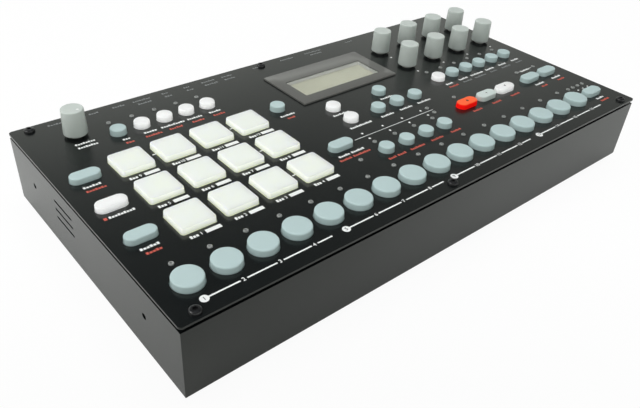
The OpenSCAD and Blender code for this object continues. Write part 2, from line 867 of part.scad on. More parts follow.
chassis();
top_plate();
display_cover();
display_module();
panel_board();
main_board();
key_switches();
encoders();
lamp_lenses();
screws();
rubber_feet();
jack_sockets();
rear_sockets();
mode_keys();
scale_keys();
page_select_keys();
pads();
volume_knob();
power_button();
for (i = [0:step_count - 1]) step_key(i);
for (i = [0:len(knobs_at) - 1]) data_knob(i);
for (k = oval_keys) single_oval_key(k);
for (k = round_keys) single_round_key(k);
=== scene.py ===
# %% [markdown]
# # A desktop drum machine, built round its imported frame
# The frame holds the real sizes and the joints: a folded steel case, a flat control plate, keys,
# pads, knobs and sockets. This script gives each of them its looks. Everything is in metres, in the
# frame's own place, so a piece is made where it belongs and never moved afterwards.

# %% Load the frame
import math

import bmesh
import bpy
from mathutils import Matrix, Vector


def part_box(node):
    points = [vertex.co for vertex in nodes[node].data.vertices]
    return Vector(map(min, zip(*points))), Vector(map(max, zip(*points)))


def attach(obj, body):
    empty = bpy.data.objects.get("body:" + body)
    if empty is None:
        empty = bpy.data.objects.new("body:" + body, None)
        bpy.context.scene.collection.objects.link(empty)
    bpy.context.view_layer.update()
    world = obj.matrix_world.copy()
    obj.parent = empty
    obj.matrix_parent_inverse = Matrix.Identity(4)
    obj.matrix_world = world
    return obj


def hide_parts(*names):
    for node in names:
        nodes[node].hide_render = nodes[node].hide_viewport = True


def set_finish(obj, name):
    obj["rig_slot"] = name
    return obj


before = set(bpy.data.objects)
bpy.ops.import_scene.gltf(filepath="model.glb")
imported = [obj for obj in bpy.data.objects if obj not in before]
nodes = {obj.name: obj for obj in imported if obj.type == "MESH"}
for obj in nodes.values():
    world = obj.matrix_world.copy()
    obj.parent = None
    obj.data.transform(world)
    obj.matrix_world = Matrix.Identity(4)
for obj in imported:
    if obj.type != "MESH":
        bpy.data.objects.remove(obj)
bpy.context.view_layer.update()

# %% [markdown]
# ## A ruler for the panel
# The keys and the print are laid out on the control plate, so their places are easiest to read in
# millimetres from the plate's front left corner, with heights from the table. Two small functions
# turn such a place into the frame's metres and back.

# %% The panel's ruler
MM = 0.001
CASE_W = 340.0
BOX_D = 179.2
PLATE_TOP = 47.0


def spot(x, y, z):
    """A place on the panel, in millimetres, as a point of the frame."""
    return Vector(((x - CASE_W / 2) * MM, (y - BOX_D / 2) * MM, z * MM))


def ruler(point):
    """A point of the frame as a place on the panel, in millimetres."""
    return Vector((point[0] / MM + CASE_W / 2, point[1] / MM + BOX_D / 2, point[2] / MM))


print("front left corner of the plate", spot(0, 0, PLATE_TOP))

# %% [markdown]
# ## The camera
# The picture is taken from the front left, about 36 degrees above the table, from less than half a
# metre away, which is why the near corner looks so large. A camera is turned about its own line of
# sight last, so the three turns are written in that order: round the table, down, and the small tilt.

# %% Camera
camera_data = bpy.data.cameras.new("camera")
camera_data.sensor_width = 36.0
camera_data.lens = 37.54
camera_data.clip_start = 0.01
camera = bpy.data.objects.new("camera", camera_data)
bpy.context.scene.collection.objects.link(camera)
camera.matrix_world = (
    Matrix.Translation((-0.2515, -0.24983, 0.23642))
    @ Matrix.Rotation(math.radians(-42.83), 4, "Z")
    @ Matrix.Rotation(math.radians(90 - 36.10), 4, "X")
    @ Matrix.Rotation(math.radians(4.48), 4, "Z")
)
bpy.context.scene.camera = camera
bpy.context.scene.view_settings.view_transform = "Standard"
print("camera at", camera.matrix_world.translation)

# %% [markdown]
# ## The studio
# Black satin steel shows little colour of its own: what is seen on it is the room. The walls of the
# case mirror the white table, and the plate mirrors whatever is behind the object. So the world is a
# dome with a bright band above the horizon and little light higher up, dimmer to the sides. The
# lamps are large. Two of them are hidden from mirrors, so that the plate can't show them.
#
# The dome's levels were set until the plate's sheen agreed with the photo in this one view.
# They are a fit to that view and not a record of the real room.

# %% World: a dome with a bright band and a dim top
world = bpy.data.worlds.new("studio_dome")
bpy.context.scene.world = world
world.use_nodes = True
dome = world.node_tree
dome.nodes.clear()


def feed(tree, value, socket):
    """Links an output to the socket, or sets the socket to a number or a colour."""
    if isinstance(value, bpy.types.NodeSocket):
        tree.links.new(value, socket)
    else:
        socket.default_value = value


def add(tree, kind, **values):
    """A new node, with its properties and inputs given by name."""
    node = tree.nodes.new(kind)
    for key, value in values.items():
        if hasattr(node, key):
            setattr(node, key, value)
        else:
            feed(tree, value, node.inputs[key.replace("_", " ")])
    return node


def reckon(tree, operation, first, second):
    """What a sum or the like makes of two numbers."""
    node = add(tree, "ShaderNodeMath", operation=operation)
    feed(tree, first, node.inputs[0])
    feed(tree, second, node.inputs[1])
    return node.outputs[0]


def blend(tree, share, first, second):
    """A mix of two shaders: only the first at 0, only the second at 1."""
    node = add(tree, "ShaderNodeMixShader", Fac=share)
    feed(tree, first.outputs[0], node.inputs[1])
    feed(tree, second.outputs[0], node.inputs[2])
    return node.outputs[0]


def coordinate(tree, kind):
    """Where a point is (Object), or which way its face looks (Normal)."""
    return add(tree, "ShaderNodeTexCoord").outputs[kind]


def z_of(tree, kind):
    """The upward part of a coordinate."""
    return add(tree, "ShaderNodeSeparateXYZ", Vector=coordinate(tree, kind)).outputs["Z"]


def ramp(tree, stops, source):
    """A colour ramp with these stops, fed by an output."""
    node = tree.nodes.new("ShaderNodeValToRGB")
    elements = node.color_ramp.elements
    while len(elements) < len(stops):
        elements.new(0.5)
    for element, (place, colour) in zip(elements, stops):
        element.position = place
        element.color = (*colour, 1)
    tree.links.new(source, node.inputs["Fac"])
    return node.outputs["Color"]


def white_for_view(tree, path):
    """1 where the camera or clear plastic looks, and 0 for the light on the object."""
    return reckon(tree, "MAXIMUM", path.outputs["Is Camera Ray"], path.outputs["Is Transmission Ray"])


split = add(dome, "ShaderNodeSeparateXYZ", Vector=coordinate(dome, "Generated"))
height_stops = [
    (0.000, (0.35, 0.36, 0.35)),
    (0.220, (0.40, 0.41, 0.40)),
    (0.320, (0.90, 0.93, 0.88)),
    (0.350, (1.00, 1.04, 0.98)),
    (0.370, (0.70, 0.73, 0.69)),
    (0.390, (0.53, 0.55, 0.51)),
    (0.450, (0.33, 0.34, 0.32)),
    (0.485, (0.29, 0.30, 0.29)),
    (0.530, (0.14, 0.15, 0.15)),
    (0.570, (0.13, 0.14, 0.13)),
    (0.600, (0.088, 0.097, 0.094)),
    (0.650, (0.017, 0.022, 0.024)),
    (0.860, (0.019, 0.024, 0.026)),
    (1.000, (0.23, 0.24, 0.25)),
]
dome_colour = ramp(dome, height_stops, split.outputs["Z"])
across = add(dome, "ShaderNodeMapRange", Value=split.outputs["X"], From_Min=-1.0)
side_stops = [(0.00, (0.70, 0.70, 0.70)), (0.35, (0.75, 0.75, 0.75)), (0.50, (1, 1, 1)), (0.68, (1, 1, 1)),
              (0.79, (0.60, 0.60, 0.60)), (0.895, (0.50, 0.50, 0.50)), (0.925, (0.30, 0.30, 0.30))]
side_shade = ramp(dome, side_stops, across.outputs["Result"])
shaded = add(dome, "ShaderNodeMix", data_type="RGBA", blend_type="MULTIPLY", Factor=1.0)
feed(dome, dome_colour, shaded.inputs[6])
feed(dome, side_shade, shaded.inputs[7])
room = add(dome, "ShaderNodeBackground", Color=shaded.outputs[2], Strength=2.2)
backdrop = add(dome, "ShaderNodeBackground", Color=(1, 1, 1, 1), Strength=1.0)
seen_directly = white_for_view(dome, add(dome, "ShaderNodeLightPath"))
add(dome, "ShaderNodeOutputWorld", Surface=blend(dome, seen_directly, room, backdrop))
print("dome stops", len(height_stops))

# %% Lamps: soft boxes above, at the back left and on the camera's side
def soft_box(name, place, aim, size, power):
    """An area lamp of this size in metres at this place, turned to its aim."""
    light = bpy.data.lights.new(name, "AREA")
    light.shape = "DISK"
    light.size = size
    light.energy = power
    lamp = bpy.data.objects.new(name, light)
    bpy.context.scene.collection.objects.link(lamp)
    look = Vector(aim) - Vector(place)
    lamp.matrix_world = Matrix.Translation(place) @ look.to_track_quat("-Z", "Y").to_matrix().to_4x4()
    return lamp


overhead = soft_box("overhead_box", (0.04, -0.02, 1.30), (0, 0, 0), 0.9, 9.0)
overhead.visible_glossy = False
soft_box("back_left_box", (-1.05, 0.35, 0.85), (0, 0, 0.03), 0.8, 6.0)
front = soft_box("camera_side_box", (-0.75, -0.95, 0.75), (0, 0, 0.03), 0.8, 1.8)
front.visible_glossy = False

# %% [markdown]
# The table is white to the camera. Its lit colour carries a painted shadow, darker at the near left,
# which only the case's walls show, since they mirror it: the left end of the front wall is darker
# than the right.

# %% Floor: a white table that keeps the shadow
bpy.ops.object.select_all(action="DESELECT")
bpy.ops.mesh.primitive_plane_add(size=12)
floor = bpy.context.object
floor.name = "table_top"
table_paint = bpy.data.materials.new("white_table")
table_paint.use_nodes = True
tree = table_paint.node_tree
tree.nodes.clear()
# Painted shadow: the lit colour darkens towards a spot at the near left of the table.
from_shade = add(tree, "ShaderNodeVectorMath", operation="DISTANCE")
feed(tree, coordinate(tree, "Object"), from_shade.inputs[0])
feed(tree, (-0.28, -0.34, 0), from_shade.inputs[1])
table_shadow_stops = [(0.08, (0.22, 0.23, 0.22)), (0.22, (0.48, 0.49, 0.47)), (0.42, (0.97, 0.98, 0.96))]
lit = add(tree, "ShaderNodeBsdfDiffuse", Color=ramp(tree, table_shadow_stops, from_shade.outputs["Value"]))
glow = add(tree, "ShaderNodeEmission", Color=(1, 1, 1, 1), Strength=1.0)
path = add(tree, "ShaderNodeLightPath")
mirrored = reckon(tree, "MULTIPLY", path.outputs["Is Glossy Ray"], 0.27)
either = reckon(tree, "MAXIMUM", white_for_view(tree, path), mirrored)
share = reckon(tree, "MULTIPLY", either, 0.95)
add(tree, "ShaderNodeOutputMaterial", Surface=blend(tree, share, lit, glow))
floor.data.materials.append(table_paint)
print("floor", floor.name)

# %% [markdown]
# ## The finishes
# Each finish is one Principled shader with three things fed by noise on Object coordinates: the
# colour wavers by a few percent, the roughness wavers, and a fine bump gives the grain its tooth.
# Object coordinates keep the grain the same size on every piece. The numbers that are the same all
# over a surface are set on the shader's own sockets, so nothing is lost when the model is exported.

# %% A finish: colour, roughness and grain from noise
def finish(name, colour, rough, waver=0.05, grain=2500.0, tooth=0.03, depth=0.00003, cloud=60.0, **sockets):
    """A moulded, painted or plated surface. grain and cloud are noise scales per metre."""
    material = bpy.data.materials.new(name)
    material.use_nodes = True
    tree = material.node_tree
    shader = tree.nodes["Principled BSDF"]
    for socket, value in sockets.items():
        shader.inputs[socket.replace("_", " ")].default_value = value
    place = coordinate(tree, "Object")
    clouds = add(tree, "ShaderNodeTexNoise", Vector=place, Scale=cloud, Detail=3.0)
    dark = tuple(c * (1 - waver) for c in colour)
    pale = tuple(min(1.0, c * (1 + waver)) for c in colour)
    tint = ramp(tree, [(0.3, dark), (0.7, pale)], clouds.outputs["Fac"])
    feed(tree, tint, shader.inputs["Base Color"])
    grains = add(tree, "ShaderNodeTexNoise", Vector=place, Scale=grain, Detail=2.0).outputs["Fac"]
    gloss = add(tree, "ShaderNodeMapRange", Value=grains, From_Min=0.3, From_Max=0.7,
                To_Min=rough * 0.9, To_Max=rough * 1.1)
    feed(tree, gloss.outputs["Result"], shader.inputs["Roughness"])
    bump = add(tree, "ShaderNodeBump", Height=grains, Strength=tooth, Distance=depth)
    feed(tree, bump.outputs["Normal"], shader.inputs["Normal"])
    return material


def side_glow(material, colour, strength):
    """Painted light: an emission on the faces that look sideways, strongest on upright faces, standing in for
    light that has come down through a translucent piece.
    """
    tree = material.node_tree
    shader = tree.nodes["Principled BSDF"]
    shader.inputs["Emission Color"].default_value = (*colour, 1)
    upright = add(tree, "ShaderNodeMapRange", Value=z_of(tree, "Normal"), From_Min=0.25, From_Max=0.85,
                  To_Min=strength, To_Max=0.0)
    feed(tree, upright.outputs["Result"], shader.inputs["Emission Strength"])


def recolour(material, source, stops=None):
    """Gives the base colour another source, with or without a ramp between."""
    tree = material.node_tree
    colour = ramp(tree, stops, source) if stops else source
    feed(tree, colour, tree.nodes["Principled BSDF"].inputs["Base Color"])


# %% [markdown]
# ### Steel, paint and metal
# The case and the plate share one fine black powder coat. It is nearly black, and satin enough to
# show a blurred mirror of the knobs. The screws are black oxide, smoother and a little shinier.

# %% Steel, paint and metal
black_coat = finish("black_powder_coat", (0.0060, 0.0068, 0.0072), 0.24, waver=0.12, grain=3500, tooth=0.10,
                    depth=0.00002, IOR=1.5, Specular_Tint=(0.96, 1.0, 0.93, 1.0))
black_oxide = finish("black_oxide", (0.012, 0.012, 0.013), 0.28, waver=0.2, grain=4000, tooth=0.08, IOR=1.55)
nickel = finish("bright_nickel", (0.62, 0.60, 0.56), 0.22, waver=0.06, grain=3000, tooth=0.05, Metallic=1.0)
steel = finish("zinc_steel", (0.50, 0.51, 0.50), 0.34, waver=0.1, grain=3000, tooth=0.08, Metallic=1.0)
print("metals", [m.name for m in (black_coat, black_oxide, nickel, steel)])

# %% [markdown]
# ### Moulded keys and knobs
# The keys are satin mouldings in blue-grey, white and orange-red. Light enters such plastic a very
# little way, which softens its edges, so each gets a touch of subsurface scatter.

# %% Moulded keys and knobs
def scatter(weight, radius):
    """The sockets for light that goes this many metres into a moulding."""
    return {"Subsurface_Weight": weight, "Subsurface_Radius": (radius,) * 3, "Subsurface_Scale": 1.0}


soft_light = scatter(0.06, 0.0006)
grey_moulding = finish("blue_grey_moulding", (0.46, 0.58, 0.58), 0.42, waver=0.02, tooth=0.12, **soft_light)
milky = scatter(1.0, 0.005)
white_moulding = finish("white_moulding", (0.93, 0.93, 0.915), 0.40, waver=0.012, tooth=0.10, **milky)
# Painted light: the white keys' upright sides glow a little.
side_glow(white_moulding, (1.0, 1.0, 0.99), 0.17)
red_moulding = finish("orange_red_moulding", (0.98, 0.085, 0.018), 0.45, tooth=0.10, Specular_IOR_Level=0.22)
# Painted highlight and shade: the colour follows which way a face looks, orange on the top and deep red on
# the sides, and the sides get a faint painted glow as well.
recolour(red_moulding, z_of(red_moulding.node_tree, "Normal"),
         [(0.3, (0.98, 0.004, 0.001)), (0.9, (1.0, 0.135, 0.040))])
side_glow(red_moulding, (1.0, 0.001, 0.0), 0.25)
pale_moulding = finish("pale_grey_moulding", (0.60, 0.67, 0.645), 0.42, waver=0.02, tooth=0.12, **soft_light)
knob_light = scatter(0.3, 0.003)
knob_moulding = finish("knob_moulding", (0.53, 0.575, 0.545), 0.46, waver=0.02, tooth=0.16, **knob_light)
black_moulding = finish("black_moulding", (0.018, 0.018, 0.018), 0.42, waver=0.15, tooth=0.15)
foot_rubber = finish("foot_rubber", (0.016, 0.016, 0.016), 0.8, waver=0.2, grain=1800, tooth=0.4)
print("mouldings", [m.name for m in (grey_moulding, white_moulding, red_moulding, knob_moulding)])

# %% [markdown]
# ### Silicone pads
# The pads are milky silicone. They look white from above. A ramp over the height of the piece paints the
# light
# that has gone through more of the rubber: a yellow-green tint where they meet the plate and a paler band low
# on the sides, with the top a little darker. Subsurface scatter gives the milkiness.

# %% Silicone
silicone = finish("milky_silicone", (0.80, 0.85, 0.78), 0.55, waver=0.01, grain=1500, tooth=0.15,
                  Subsurface_Weight=1.0, Subsurface_Radius=(0.009, 0.009, 0.007), Subsurface_Scale=1.0)
tree = silicone.node_tree
# Painted light: the height ramp below stands in for light passing through the rubber.
level = add(tree, "ShaderNodeMapRange", Value=z_of(tree, "Object"), From_Min=PLATE_TOP * MM,
            From_Max=(PLATE_TOP + 3.2) * MM)
recolour(silicone, level.outputs["Result"],
         [(0.0, (0.84, 0.90, 0.70)), (0.25, (0.90, 0.94, 0.83)), (0.7, (0.835, 0.880, 0.800))])
# Painted light: a faint glow on the pads' upright sides.
side_glow(silicone, (0.97, 1.0, 0.86), 0.22)
print("pad tint from", PLATE_TOP, "to", PLATE_TOP + 3.2, "mm")

# %% [markdown]
# ### Ink
# The print is a thin coat of ink, white for what a key does, red for what it does with the function
# key held, and a dim grey along the rear edge. Ink is matter than the coat under it.

# %% Ink
white_ink = finish("white_ink", (0.86, 0.87, 0.86), 0.6, waver=0.03, grain=6000, tooth=0.1)
red_ink = finish("red_ink", (0.56, 0.10, 0.070), 0.6, waver=0.05, grain=6000, tooth=0.1)
grey_ink = finish("dim_grey_ink", (0.20, 0.21, 0.21), 0.6, waver=0.05, grain=6000, tooth=0.1)
black_ink = finish("black_ink", (0.012, 0.012, 0.012), 0.5, waver=0.1, grain=6000, tooth=0.1)
print("inks", [m.name for m in (white_ink, red_ink, grey_ink, black_ink)])

# %% [markdown]
# ### The display's sheet and cell, and the lamps
# The cover is a glossy sheet, painted grey from behind except for a clear window. The cell behind it
# is olive grey with its own fine rows of picture points. Clear plastic blocks a path tracer's direct
# light, so for shadow rays the clear finish turns transparent.

# %% Clear plastics and the cell
cover_paint = finish("grey_cover_sheet", (0.128, 0.128, 0.120), 0.10, waver=0.02, grain=900, tooth=0.015,
                     IOR=1.49, Specular_IOR_Level=0.18)
lining_paint = finish("grey_lining", (0.205, 0.208, 0.198), 0.5, waver=0.03)


def clear_plastic(name, colour, rough):
    """A see-through finish that lets the lamps' light pass."""
    material = finish(name, colour, rough, waver=0.02, tooth=0.02, Transmission_Weight=1.0, IOR=1.45)
    tree = material.node_tree
    shader = tree.nodes["Principled BSDF"]
    path = add(tree, "ShaderNodeLightPath")
    gap = add(tree, "ShaderNodeBsdfTransparent", Color=(*colour, 1))
    clear = blend(tree, path.outputs["Is Shadow Ray"], shader, gap)
    feed(tree, clear, tree.nodes["Material Output"].inputs["Surface"])
    return material


window_clear = clear_plastic("clear_window", (0.97, 0.98, 0.95), 0.03)
lens_clear = finish("frosted_lens", (0.30, 0.31, 0.30), 0.30, waver=0.25, cloud=900, tooth=0.2,
                    **scatter(0.3, 0.001))
# Painted shade for the sunk middle of each lamp dome.
lens_painted_shade = finish("lens_painted_shade", (0.19, 0.195, 0.19), 0.25, waver=0.3, cloud=900, tooth=0.2)
cell_grey = finish("olive_grey_cell", (0.30, 0.305, 0.23), 0.35, waver=0.02)
tree = cell_grey.node_tree
scale_up = add(tree, "ShaderNodeMapping", Vector=coordinate(tree, "Object"), Scale=(1000, 1000, 1000))
points = add(tree, "ShaderNodeTexBrick", Vector=scale_up.outputs["Vector"], offset=0.0, squash=1.0, Scale=1.0,
             Mortar_Size=0.06, Brick_Width=0.42, Row_Height=0.42, Color1=(0.222, 0.223, 0.168, 1),
             Color2=(0.215, 0.216, 0.163, 1), Mortar=(0.201, 0.202, 0.152, 1))
recolour(cell_grey, points.outputs["Color"])
print("clear", window_clear.name, "cell", cell_grey.name)

# %% [markdown]
# ### The boards
# Inside, the boards are green laminate with copper tracks under the mask. A wave pattern bent by
# noise gives the tracks: it is never seen in a picture of the closed case, but is there for a view
# with the plate off.

# %% Boards
board_mask = finish("green_solder_mask", (0.012, 0.085, 0.035), 0.32, waver=0.15, tooth=0.05)
tree = board_mask.node_tree
tracks = add(tree, "ShaderNodeTexWave", Vector=coordinate(tree, "Object"), Scale=120.0, Distortion=6.0,
             Detail=2.0)
recolour(board_mask, tracks.outputs["Color"],
         [(0.0, (0.010, 0.070, 0.028)), (0.85, (0.014, 0.095, 0.040)), (0.9, (0.03, 0.15, 0.06))])
print("board", board_mask.name)

# %% [markdown]
# ## Tools for shaping
# Every new piece begins as a primitive at its own size and place. An operator acts on all that is
# selected, so everything is deselected first, and then faces or edges are picked in code by where
# they are on the panel and which way they look.

# %% Helpers: start, pick, end
def clear_selection():
    """Back to object mode with nothing selected."""
    if bpy.context.object and bpy.context.object.mode != "OBJECT":
        bpy.ops.object.mode_set(mode="OBJECT")
    bpy.ops.object.select_all(action="DESELECT")


def bake_place(piece):
    """Moves a piece's place, turn and size into its mesh, and opens it in edit mode."""
    bpy.ops.object.transform_apply(location=True, rotation=True, scale=True)
    bpy.ops.object.mode_set(mode="EDIT")
    return piece


def round_bar(radius, low, top, x, y, sides=64):
    """A closed cylinder from one height to another, open in edit mode."""
    clear_selection()
    bpy.ops.mesh.primitive_cylinder_add(vertices=sides, radius=radius * MM, depth=(top - low) * MM,
                                        location=spot(x, y, (low + top) / 2),
                                        rotation=(0, 0, math.pi / sides))
    return bake_place(bpy.context.object)


def block(x0, x1, y0, y1, low, top):
    """A closed block between these places, open in edit mode."""
    clear_selection()
    bpy.ops.mesh.primitive_cube_add(size=MM, location=spot((x0 + x1) / 2, (y0 + y1) / 2, (low + top) / 2),
                                    scale=(x1 - x0, y1 - y0, top - low))
    return bake_place(bpy.context.object)


def pick(test, kind="FACE"):
    """In edit mode, selects only the faces, edges or points whose middle and direction pass the test."""
    bpy.ops.mesh.select_mode(type=kind)
    bpy.ops.mesh.select_all(action="DESELECT")
    mesh = bpy.context.object.data
    shape = bmesh.from_edit_mesh(mesh)
    if kind == "FACE":
        chosen = [f for f in shape.faces if test(ruler(f.calc_center_median()), f.normal)]
    elif kind == "EDGE":
        ends = [(e, e.verts[0].co, e.verts[1].co) for e in shape.edges]
        chosen = [e for e, a, b in ends if test(ruler((a + b) / 2), (b - a).normalized())]
    else:
        chosen = [v for v in shape.verts if test(ruler(v.co), v.normal)]
    for element in chosen:
        element.select_set(True)
    shape.select_flush_mode()
    bmesh.update_edit_mesh(mesh)
    return len(chosen)


def near(value, level, slack=0.02):
    """Whether two sizes in millimetres are the same."""
    return abs(value - level) < slack


def pick_cap(level, way=1):
    """The flat face or faces at this height that look up (way 1) or down (way -1)."""
    return pick(lambda middle, normal: near(middle.z, level) and normal.z * way > 0.99)


def raise_faces(height):
    """Extrudes the picked faces straight up, or down for a height below 0."""
    bpy.ops.mesh.extrude_region_move(TRANSFORM_OT_translate={"value": (0, 0, height * MM)})


def crown(x, y, level, steps):
    """Draws a flat top in by these shares, each with its lift, for a gently domed or dished top."""
    pick_cap(level)
    for share, lift in steps:
        raise_faces(lift)
        bpy.ops.transform.resize(value=(share, share, 1), center_override=spot(x, y, level))


def soften_edges(test, width, steps=3):
    """Rounds the picked edges over."""
    pick(test, "EDGE")
    bpy.ops.mesh.bevel(offset=width * MM, offset_type="OFFSET", segments=steps, affect="EDGES")


def soften_rim(level, width, steps=3):
    """Rounds the level edges at this height."""
    soften_edges(lambda middle, way: near(middle.z, level) and abs(way.z) < 0.01, width, steps)


def soften_corners(width, steps):
    """Rounds the upright edges."""
    soften_edges(lambda middle, way: abs(way.z) > 0.99, width, steps)


def hang(piece, name, body, material, slot, replaced=()):
    """Names and paints a piece, hangs it on its body and hides the nodes it stands for."""
    piece.name = name
    piece.data.name = name
    piece.data.materials.clear()
    piece.data.materials.append(material)
    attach(piece, body)
    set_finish(piece, slot)
    if replaced:
        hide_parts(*replaced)
    return piece


def done(piece, name, body, material, slot, replaced=(), angle=35):
    """Leaves edit mode, points the faces outwards, smooths and hangs the piece."""
    bpy.ops.mesh.select_all(action="SELECT")
    bpy.ops.mesh.normals_make_consistent(inside=False)
    bpy.ops.object.mode_set(mode="OBJECT")
    bpy.ops.object.shade_smooth_by_angle(angle=math.radians(angle))
    return hang(piece, name, body, material, slot, replaced)


def copy_to(piece, name, body, dx, dy, material=None, slot=None, replaced=()):
    """A copy with its own mesh, moved across the panel, on its own body."""
    mesh = piece.data.copy()
    mesh.name = name
    mesh.transform(Matrix.Translation((dx * MM, dy * MM, 0)))
    twin = bpy.data.objects.new(name, mesh)
    bpy.context.scene.collection.objects.link(twin)
    if material:
        mesh.materials[0] = material
    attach(twin, body)
    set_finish(twin, slot or piece["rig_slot"])
    if replaced:
        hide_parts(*replaced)
    return twin


# %% [markdown]
# ## Softened sheet metal
# The case and the plate have exactly the right shape in the frame already, with every bend, slot and
# hole. What they lack is the thin rounded edge that catches the light. So a copy of the node's mesh
# is merged, its flat faces are joined up again, and a narrow bevel goes on the sharp edges.

# %% A softened copy of a frame node
def softened(node_name, name, body, width, material, slot, steps=2, angle=35):
    """A copy of a frame node with its sharp edges rounded, standing for that node."""
    clear_selection()
    mesh = nodes[node_name].data.copy()
    piece = bpy.data.objects.new(name, mesh)
    bpy.context.scene.collection.objects.link(piece)
    piece.select_set(True)
    bpy.context.view_layer.objects.active = piece
    bpy.ops.object.mode_set(mode="EDIT")
    bpy.ops.mesh.select_all(action="SELECT")
    bpy.ops.mesh.remove_doubles(threshold=0.000001)
    bpy.ops.mesh.dissolve_limited(angle_limit=math.radians(1))
    bpy.ops.object.mode_set(mode="OBJECT")
    if width:
        edge = piece.modifiers.new("soft_edge", "BEVEL")
        edge.width = width * MM
        edge.segments = steps
        edge.limit_method = "ANGLE"
        edge.angle_limit = math.radians(angle)
        edge.use_clamp_overlap = True
        bpy.ops.object.modifier_apply(modifier="soft_edge")
    bpy.ops.object.shade_smooth_by_angle(angle=math.radians(angle))
    level = piece.modifiers.new("flat_faces_stay_flat", "WEIGHTED_NORMAL")
    level.keep_sharp = True
    bpy.ops.object.modifier_apply(modifier="flat_faces_stay_flat")
    print(name, len(piece.data.polygons), "faces")
    return hang(piece, name, body, material, slot, [node_name])


# %% Case and control plate
softened("chassis", "folded_case", "case", 0.06, black_coat, "black_steel")
softened("top_plate", "control_plate", "case", 0.10, black_coat, "black_steel")

# %% [markdown]
# ## The keys
# A key cap is a low cylinder that stands up through its hole in the plate, with a wider rim under the
# plate that keeps it in, and a stem that goes down to its switch. The rim is made first, its top face
# is inset to the cap's size and pulled up, and the far edge is rounded over. An oval key is the same
# cylinder with its two halves pushed apart before the top is raised. One cap of each size is shaped,
# and the others are copies.

# %% Shape one key cap
RIM_LOW = 44.3
RIM_TOP = 45.5
RIM_REACH = 1.2
STEM_R = 1.75
STEM_LOW = 37.6
DRAFT = 0.18


def key_cap(name, body, x, y, radius, half_spread, top, edge, dish, material, slot, replaced=()):
    """One key: rim, cap with a rounded edge, a dished top (crowned for a dish below 0), and the stem."""
    cap = round_bar(radius + RIM_REACH, RIM_LOW, RIM_TOP, x, y)
    if half_spread:
        for side in (-1, 1):
            pick(lambda middle, normal: (middle.x - x) * side > 0, "VERT")
            bpy.ops.transform.translate(value=(side * half_spread * MM, 0, 0))
    pick_cap(RIM_TOP)
    bpy.ops.mesh.inset(thickness=RIM_REACH * MM)
    raise_faces(top - RIM_TOP)
    pick_cap(top)
    long_half = radius + half_spread
    narrower = ((long_half - DRAFT) / long_half, (radius - DRAFT) / radius, 1)
    bpy.ops.transform.resize(value=narrower, center_override=spot(x, y, top))
    soften_rim(top, edge, 4)
    crown(x, y, top, [(share, -dish) for share in (0.86, 0.76, 0.62, 0.4)])
    pick_cap(RIM_LOW, -1)
    bpy.ops.mesh.inset(thickness=(radius + RIM_REACH - STEM_R) * MM)
    if half_spread:
        rounder = (STEM_R / (STEM_R + half_spread), 1, 1)
        bpy.ops.transform.resize(value=rounder, center_override=spot(x, y, RIM_LOW))
    raise_faces(STEM_LOW - RIM_LOW)
    return done(cap, name, body, material, slot, replaced)


# %% [markdown]
# ### Sixteen step keys
# They stand 19.05 mm apart, the usual three quarters of an inch, along the front edge.

# %% Step keys
STEP_X = 16.3
STEP_Y = 20.8
STEP_PITCH = 19.05
first_step = key_cap("step_cap_1", "step_key_1", STEP_X, STEP_Y, 7.3, 0, PLATE_TOP + 3.3, 0.7, -0.03,
                     grey_moulding, "grey_key", ["step_key_1"])
for number in range(2, 17):
    copy_to(first_step, f"step_cap_{number}", f"step_key_{number}", STEP_PITCH * (number - 1), 0,
            replaced=[f"step_key_{number}"])
print("step cap faces", len(first_step.data.polygons))

# %% [markdown]
# ### Small round keys
# Some of them share a body, because five, four and six of them move as one strip in the frame. Each
# still has its own cap.

# %% Small round keys
paints = {"grey": (grey_moulding, "grey_key"), "white": (white_moulding, "white_key"),
          "red": (red_moulding, "red_key"), "pale": (pale_moulding, "grey_key")}


def key_set(keys, *shape):
    """Caps of one shape: the first is modelled, the rest are copies."""
    stood_for = set()
    first = None
    for name, body, x, y, paint in keys:
        material, slot = paints[paint]
        replaced = [] if body in stood_for else [body]
        stood_for.add(body)
        if first is None:
            first = key_cap(name, body, x, y, *shape, material, slot, replaced)
            first_x, first_y = x, y
        else:
            copy_to(first, name, body, x - first_x, y - first_y, material, slot, replaced)
    print("caps", len(keys))


def on_own_body(keys):
    """Keys that each move alone, with the names of cap and body made from the key's."""
    return [(key + "_cap", key + "_key", x, y, paint) for key, x, y, paint in keys]


SMALL_PITCH = 14.1
small_keys = on_own_body((
    ("tempo", 136, 118, "grey"), ("up", 202.5, 100, "grey"), ("down", 202.5, 84, "grey"),
    ("left", 186.5, 84, "grey"), ("right", 218.5, 84, "grey"), ("yes", 164.2, 99.9, "white"),
    ("no", 164.2, 84, "white")))
for group, count, x, pitch, y in (("mode", 5, 47.6, SMALL_PITCH, 144.2), ("scale", 4, 157.8, 16, 48),
                                  ("page_select", 6, 250.6, SMALL_PITCH, 92.6)):
    whites = {"mode": range(1, 5), "scale": (), "page_select": (0,)}[group]
    for i in range(count):
        paint = "white" if i in whites else "grey"
        small_keys.append((f"{group}_cap_{i + 1}", group + "_keys", x + pitch * i, y, paint))
key_set(small_keys, 4.55, 0, PLATE_TOP + 3.3, 0.55, 0.05)

# %% Oval keys
OVAL_TOP = PLATE_TOP + 3.0
key_set(on_own_body((
    ("track", 14.7, 113.4, "grey"), ("function", 14.7, 85.35, "white"), ("retrigger", 14.7, 57.3, "grey"),
    ("bank", 138.5, 64.4, "grey"), ("record", 237.6, 57.4, "red"), ("play", 256.65, 57.4, "pale"),
    ("stop", 275.7, 57.4, "white"), ("song", 303.75, 57.4, "grey"), ("chain", 322.8, 57.4, "grey"),
    ("page", 321.4, 21.2, "grey"))), 3.9, 4.1, OVAL_TOP, 0.55, -0.02)

# %% [markdown]
# ## The pads
# Twelve soft pads are one silicone moulding on a common mat under the plate. A pad is a block whose
# upright corners are rounded, whose top is a little smaller than its foot, and whose upper edge is
# soft. The top is slightly crowned, so that the light falls off towards the corners.

